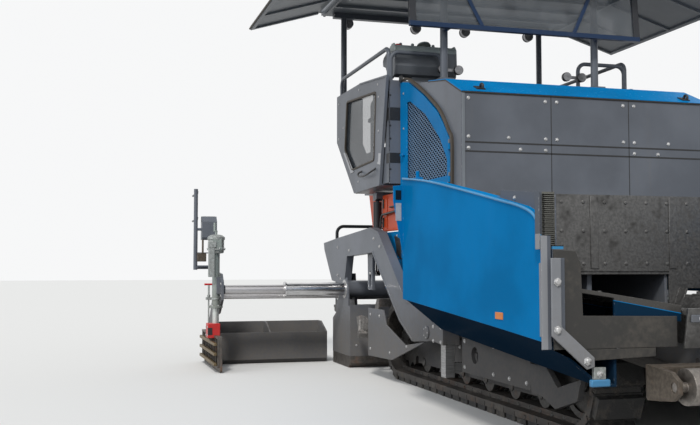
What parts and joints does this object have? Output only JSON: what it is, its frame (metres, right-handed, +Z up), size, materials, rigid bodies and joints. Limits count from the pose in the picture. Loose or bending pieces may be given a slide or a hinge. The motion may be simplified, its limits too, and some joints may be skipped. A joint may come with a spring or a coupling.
{
  "type": "asphalt paver",
  "caption": "Tracked road paver with a folding material hopper, slat conveyors, spreading augers, towed floating screed with telescoping extensions, and an open roofed platform.",
  "frame": {"origin": "on the ground, under the middle of the machine's bounding box", "axes": "+X is forward, from the screed to the hopper; +Y is to the machine's left; +Z is up"},
  "size_m": [6.79, 5.6018, 3.9041],
  "materials": {
    "blue_paint": "gloss",
    "grey_paint": "satin",
    "dark_paint": "satin",
    "bare_steel": "worn",
    "orange_paint": "gloss",
    "rubber": "matt",
    "tinted_glass": "clear",
    "seat_vinyl": "matt",
    "pad_rubber": "dusty"
  },
  "bodies": {
    "tractor": {"chassis_frame": "grey_paint", "hopper_floor": "grey_paint", "slat_conveyors": "bare_steel", "track_chains": "pad_rubber", "track_frames": "grey_paint", "track_rollers": "dark_paint", "idler_wheels": "dark_paint", "drive_sprockets": "dark_paint", "hood_shell": "grey_paint", "power_block": "dark_paint", "body_side_panels": "blue_paint", "service_panels": "orange_paint", "platform_deck": "grey_paint", "footwell_panels": "grey_paint", "glazing": "tinted_glass", "handrails": "dark_paint", "operator_seats": "seat_vinyl", "operator_console": "grey_paint", "canopy_frame": "dark_paint", "canopy_roof": "grey_paint", "windscreen_frame": "dark_paint", "tow_point_guides": "bare_steel", "side_skirts": "grey_paint", "deflector_plates": "grey_paint", "work_lamps": "bare_steel"},
    "hopper_apron": {"hopper_apron": "grey_paint"},
    "push_beam": {"push_beam": "grey_paint"},
    "push_roller_left": {"push_roller_left": "bare_steel"},
    "push_roller_right": {"push_roller_right": "bare_steel"},
    "auger_carriage": {"auger_carriage": "grey_paint"},
    "auger_left": {"auger_left": "bare_steel"},
    "auger_right": {"auger_right": "bare_steel"},
    "tow_points": {"tow_points": "grey_paint"},
    "screed": {"tow_arms": "grey_paint", "screed_frame": "grey_paint", "sole_plates": "bare_steel", "screed_walkway": "dark_paint"},
    "lift_cylinders": {"lift_cylinders": "dark_paint"},
    "lift_rods": {"lift_rods": "bare_steel"},
    "hood_lid": {"hood_lid": "blue_paint"},
    "wing_left": {"hopper_wing_left": "blue_paint", "wing_flap_left": "rubber"},
    "wing_cylinder_left": {"wing_cylinder_left": "dark_paint"},
    "wing_rod_left": {"wing_rod_left": "bare_steel"},
    "extension_left": {"extension_left": "grey_paint"},
    "middle_tube_left": {"middle_tube_left": "bare_steel"},
    "end_gate_left": {"end_gate_left": "bare_steel"},
    "sun_wing_left": {"sun_wing_left": "dark_paint"},
    "side_door_left": {"side_door_left": "blue_paint", "door_grille_left": "dark_paint"},
    "wing_right": {"hopper_wing_right": "blue_paint", "wing_flap_right": "rubber"},
    "wing_cylinder_right": {"wing_cylinder_right": "dark_paint"},
    "wing_rod_right": {"wing_rod_right": "bare_steel"},
    "extension_right": {"extension_right": "grey_paint"},
    "middle_tube_right": {"middle_tube_right": "bare_steel"},
    "end_gate_right": {"end_gate_right": "bare_steel"},
    "sun_wing_right": {"sun_wing_right": "dark_paint"},
    "side_door_right": {"side_door_right": "blue_paint", "door_grille_right": "dark_paint"}
  },
  "joints": [
    {"name": "wing_left_fold", "type": "hinge", "parent": "tractor", "child": "wing_left", "pos_m": [1.8, 0.82, 0.8], "axis": [1, 0, 0], "range_deg": [0, 60]},
    {"name": "wing_cylinder_left_swing", "type": "hinge", "parent": "tractor", "child": "wing_cylinder_left", "pos_m": [2.7, 0.725, 0.45], "axis": [1, 0, 0], "range_deg": [0, 33.1]},
    {"name": "wing_rod_left_stroke", "type": "slide", "parent": "wing_cylinder_left", "child": "wing_rod_left", "axis": [0, 0.9457, 0.325], "range_m": [0, 0.253]},
    {"name": "wing_right_fold", "type": "hinge", "parent": "tractor", "child": "wing_right", "pos_m": [1.8, -0.82, 0.8], "axis": [-1, 0, 0], "range_deg": [0, 60]},
    {"name": "wing_cylinder_right_swing", "type": "hinge", "parent": "tractor", "child": "wing_cylinder_right", "pos_m": [2.7, -0.725, 0.45], "axis": [-1, 0, 0], "range_deg": [0, 33.1]},
    {"name": "wing_rod_right_stroke", "type": "slide", "parent": "wing_cylinder_right", "child": "wing_rod_right", "axis": [0, -0.9457, 0.325], "range_m": [0, 0.253]},
    {"name": "apron_fold", "type": "hinge", "parent": "tractor", "child": "hopper_apron", "pos_m": [2.965, 0, 0.612], "axis": [0, 1, 0], "range_deg": [-15, 45]},
    {"name": "push_beam_swing", "type": "hinge", "parent": "tractor", "child": "push_beam", "pos_m": [2.985, 0, 0.46], "axis": [0, 0, 1], "range_deg": [-6, 6]},
    {"name": "push_roller_left_spin", "type": "hinge", "parent": "push_beam", "child": "push_roller_left", "pos_m": [3.31, 0.6, 0.46], "axis": [0, 1, 0], "continuous": true},
    {"name": "push_roller_right_spin", "type": "hinge", "parent": "push_beam", "child": "push_roller_right", "pos_m": [3.31, -0.6, 0.46], "axis": [0, 1, 0], "continuous": true},
    {"name": "auger_height", "type": "slide", "parent": "tractor", "child": "auger_carriage", "axis": [0, 0, 1], "range_m": [0, 0.15]},
    {"name": "auger_left_spin", "type": "hinge", "parent": "auger_carriage", "child": "auger_left", "pos_m": [-1.75, 0.6, 0.365], "axis": [0, 1, 0], "continuous": true},
    {"name": "auger_right_spin", "type": "hinge", "parent": "auger_carriage", "child": "auger_right", "pos_m": [-1.75, -0.6, 0.365], "axis": [0, 1, 0], "continuous": true},
    {"name": "tow_point_height", "type": "slide", "parent": "tractor", "child": "tow_points", "axis": [0, 0, 1], "range_m": [0, 0.1]},
    {"name": "screed_lift", "type": "hinge", "parent": "tow_points", "child": "screed", "pos_m": [0.2, 0, 0.515], "axis": [0, 1, 0], "range_deg": [0, 7]},
    {"name": "lift_cylinders_swing", "type": "hinge", "parent": "tractor", "child": "lift_cylinders", "pos_m": [-1.665, 0, 1.72], "axis": [0, -1, 0], "range_deg": [0, 7.4]},
    {"name": "lift_rods_stroke", "type": "slide", "parent": "lift_cylinders", "child": "lift_rods", "axis": [0, 0, 1], "range_m": [0, 0.221]},
    {"name": "extension_left_retract", "type": "slide", "parent": "screed", "child": "extension_left", "axis": [0, -1, 0], "range_m": [0, 1.25]},
    {"name": "middle_tube_left_retract", "type": "slide", "parent": "screed", "child": "middle_tube_left", "axis": [0, -1, 0], "range_m": [0, 0.625]},
    {"name": "end_gate_left_height", "type": "slide", "parent": "extension_left", "child": "end_gate_left", "axis": [0, 0, 1], "range_m": [0, 0.15]},
    {"name": "extension_right_retract", "type": "slide", "parent": "screed", "child": "extension_right", "axis": [0, 1, 0], "range_m": [0, 1.25]},
    {"name": "middle_tube_right_retract", "type": "slide", "parent": "screed", "child": "middle_tube_right", "axis": [0, 1, 0], "range_m": [0, 0.625]},
    {"name": "end_gate_right_height", "type": "slide", "parent": "extension_right", "child": "end_gate_right", "axis": [0, 0, 1], "range_m": [0, 0.15]},
    {"name": "sun_wing_left_fold", "type": "hinge", "parent": "tractor", "child": "sun_wing_left", "pos_m": [-1.5, 1.44, 3.84], "axis": [-1, 0, 0], "range_deg": [0, 70]},
    {"name": "sun_wing_right_fold", "type": "hinge", "parent": "tractor", "child": "sun_wing_right", "pos_m": [-1.5, -1.44, 3.84], "axis": [1, 0, 0], "range_deg": [0, 70]},
    {"name": "hood_lid_open", "type": "hinge", "parent": "tractor", "child": "hood_lid", "pos_m": [-0.178, 0, 2.622], "axis": [0, -1, 0], "range_deg": [0, 60]},
    {"name": "side_door_left_open", "type": "hinge", "parent": "tractor", "child": "side_door_left", "pos_m": [0.368, 1.146, 2], "axis": [0, 0, -1], "range_deg": [0, 90]},
    {"name": "side_door_right_open", "type": "hinge", "parent": "tractor", "child": "side_door_right", "pos_m": [0.368, -1.146, 2], "axis": [0, 0, 1], "range_deg": [0, 90]}
  ],
  "couplings": [
    {"joint": "wing_cylinder_left_swing", "follows": "wing_left_fold", "ratio": 0.55},
    {"joint": "wing_rod_left_stroke", "follows": "wing_left_fold", "m_per_rad": 0.24},
    {"joint": "wing_cylinder_right_swing", "follows": "wing_right_fold", "ratio": 0.55},
    {"joint": "wing_rod_right_stroke", "follows": "wing_right_fold", "m_per_rad": 0.24},
    {"joint": "lift_cylinders_swing", "follows": "screed_lift", "ratio": 1.0348},
    {"joint": "lift_rods_stroke", "follows": "screed_lift", "m_per_rad": 1.7979},
    {"joint": "middle_tube_left_retract", "follows": "extension_left_retract", "ratio": 0.5},
    {"joint": "middle_tube_right_retract", "follows": "extension_right_retract", "ratio": 0.5}
  ]
}
